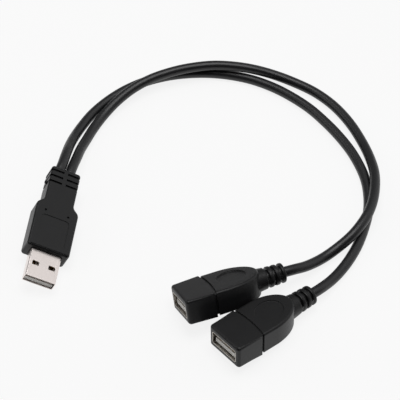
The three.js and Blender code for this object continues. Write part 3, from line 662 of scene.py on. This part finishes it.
def finger_dip(y):
    """How far a finger stands in from its wall: most at its bend, less at its turned-out tip."""
    if y < FINGER_BEND:
        share = (y - FINGER_TIP) / (FINGER_BEND - FINGER_TIP)
        return FINGER_TIP_DIP + (FINGER_DIP - FINGER_TIP_DIP) * math.sin(math.pi / 2 * share)
    share = (FINGER_ROOT - y) / (FINGER_ROOT - FINGER_BEND)
    return FINGER_DIP * share * share * (3 - 2 * share)


mouth_shell = folded_tube(
    "mouth_shell",
    MOUTH_SHELL_WIDTH / 2,
    MOUTH_SHELL_HEIGHT / 2,
    MOUTH_SHELL_CORNER,
    0,
    MOUTH_SHELL_LENGTH,
)
for side in (-1, 1):
    left, right = (
        side * FINGER_PITCH / 2 + half * (FINGER_WIDTH / 2 + FINGER_SLOT) for half in (-1, 1)
    )
    slot = box("slot", (left, FINGER_TIP - FINGER_SLOT, -4), (right, FINGER_ROOT, 4))
    combine(mouth_shell, "DIFFERENCE", slot)
wall_top = MOUTH_SHELL_HEIGHT / 2
finger = box(
    "finger",
    (-FINGER_WIDTH / 2, FINGER_TIP, wall_top - SHEET),
    (FINGER_WIDTH / 2, FINGER_ROOT, wall_top),
)
edit(finger, "EDGE", lengthways)
bpy.ops.mesh.subdivide(number_cuts=FINGER_STATIONS - 1)
close_edit()
for k in range(FINGER_STATIONS):
    y = FINGER_TIP + (FINGER_ROOT - FINGER_TIP) * k / FINGER_STATIONS
    edit(finger, "VERT", lambda v: abs(v.co.y - y) < 0.01)
    bpy.ops.transform.translate(value=(0, 0, -finger_dip(y)))
    close_edit()
edit(finger, "FACE", lambda f: f.normal.y > 0.9)
bpy.ops.mesh.extrude_region_move(TRANSFORM_OT_translate={"value": (0, 0.3, 0)})
close_edit()
for side in (-1, 1):
    for half_turn in (0, math.pi):
        spring = copy_of(finger, "spring")
        beside = Matrix.Translation((side * FINGER_PITCH / 2, 0, 0))
        spring.data.transform(Matrix.Rotation(half_turn, 4, "Y") @ beside)
        combine(mouth_shell, "UNION", spring)
bpy.data.objects.remove(finger)
round_edges(mouth_shell, 0.07, 2, 60)
for name, turn in SOCKETS.items():
    piece = copy_of(mouth_shell, name + "_shell_sheet")
    finish_piece(piece, SHELL_PAINTED_SHADE, turn, SOCKET_ORIGINS[name], name + "_shell")
bpy.data.objects.remove(mouth_shell)


# Insulators, contacts, inner moulds and wires keep their true CAD forms and take their finishes
# here: white nylon, thin gold plate, cloudy polythene and coloured PVC over stranded copper.
WHITE_RESIN = plastic("white_resin", (0.78, 0.76, 0.72), 0.42, shade_change=0.08, grain_height=0.006)
NATURAL_RESIN = plastic("natural_resin", (0.62, 0.60, 0.52), 0.6, shade_change=0.15)
GOLD = metal("gold_plate", (0.78, 0.55, 0.22), 0.28, 0.10)
WIRES = {
    "black": plastic("black_wire_pvc", (0.012, 0.012, 0.012), 0.4),
    "green": plastic("green_wire_pvc", (0.02, 0.20, 0.045), 0.4),
    "white": plastic("white_wire_pvc", (0.72, 0.72, 0.70), 0.4),
    "red": plastic("red_wire_pvc", (0.42, 0.02, 0.03), 0.4),
}


def dress(name, material):
    NODES[name].data.materials.clear()
    NODES[name].data.materials.append(material)


for name in NODES:
    if name.endswith("_insulator"):
        dress(name, WHITE_RESIN)
    elif name.endswith("_inner_mould"):
        dress(name, NATURAL_RESIN)
    elif name.endswith("_contact"):
        dress(name, GOLD)
    else:
        for colour, material in WIRES.items():
            if f"_{colour}_wire" in name:
                dress(name, material)


# The table: a plain white sheet that keeps a faint shadow. To the camera and in reflections it is
# close to white, as the surroundings are.
bpy.ops.object.select_all(action="DESELECT")
bpy.ops.mesh.primitive_plane_add(size=4, location=(0, 0, 0))
table = bpy.context.object
table.name = "table"
paper = bpy.data.materials.new("table_paper")
paper.use_nodes = True
tree = paper.node_tree
tree.nodes.clear()
path = node(tree, "ShaderNodeLightPath")
seen = sum_of(tree, "MAXIMUM", path.outputs["Is Camera Ray"], path.outputs["Is Glossy Ray"])
lit = node(tree, "ShaderNodeBsdfDiffuse", {"Color": (0.9, 0.9, 0.9, 1)})
glow = node(tree, "ShaderNodeEmission", {"Color": (1, 1, 1, 1), "Strength": 1.0})
mix = node(tree, "ShaderNodeMixShader", {0: sum_of(tree, "MULTIPLY", seen, 0.85)})
tree.links.new(lit.outputs[0], mix.inputs[1])
tree.links.new(glow.outputs[0], mix.inputs[2])
node(tree, "ShaderNodeOutputMaterial", {"Surface": mix.outputs[0]})
table.data.materials.append(paper)


# Soft studio light: a dim room that is brightest at the right behind the cable and darkest on the
# viewer's side, one broad lamp overhead and a weak one to the left.
world = bpy.data.worlds.new("studio")
bpy.context.scene.world = world
world.use_nodes = True
tree = world.node_tree
tree.nodes.clear()
path = node(tree, "ShaderNodeLightPath")
direction = node(tree, "ShaderNodeTexCoord").outputs["Generated"]
bright_side = Vector((0.86, 0.19, 0.47)).normalized()
facing = node(tree, "ShaderNodeVectorMath", {0: direction, 1: bright_side}, operation="DOT_PRODUCT")
level = node(tree, "ShaderNodeMapRange", {
    "Value": facing.outputs["Value"], "From Min": 0.55, "From Max": 0.95, "To Min": 0.24, "To Max": 0.85,
}).outputs[0]
depth = node(tree, "ShaderNodeSeparateXYZ", {0: direction}).outputs["Y"]
away = node(tree, "ShaderNodeMapRange", {
    "Value": depth, "From Min": -0.4, "From Max": 0.15, "To Min": 0.15, "To Max": 1.0,
}).outputs[0]
strength = sum_of(tree, "MULTIPLY", level, away)
room = node(tree, "ShaderNodeBackground", {"Color": (1, 1, 1, 1), "Strength": strength})
white = node(tree, "ShaderNodeBackground", {"Color": (1, 1, 1, 1), "Strength": 1.0})
mix = node(tree, "ShaderNodeMixShader", {0: path.outputs["Is Camera Ray"]})
tree.links.new(room.outputs[0], mix.inputs[1])
tree.links.new(white.outputs[0], mix.inputs[2])
node(tree, "ShaderNodeOutputWorld", {"Surface": mix.outputs[0]})


def soft_lamp(name, place, aim, size, power):
    light = bpy.data.lights.new(name, "AREA")
    light.shape = "RECTANGLE"
    light.size, light.size_y = size
    light.energy = power
    lamp = bpy.data.objects.new(name, light)
    lamp.location = place
    lamp.rotation_euler = (Vector(aim) - Vector(place)).to_track_quat("-Z", "Y").to_euler()
    bpy.context.scene.collection.objects.link(lamp)


soft_lamp("overhead_lamp", (0.05, 0.10, 0.80), (0, 0.03, 0), (0.6, 0.4), 3.2)
soft_lamp("left_lamp", (-0.75, 0.1, 0.55), (0, 0.03, 0), (0.5, 0.5), 1.0)


# The picture's own colours are kept as they come.
bpy.context.scene.view_settings.view_transform = "Standard"
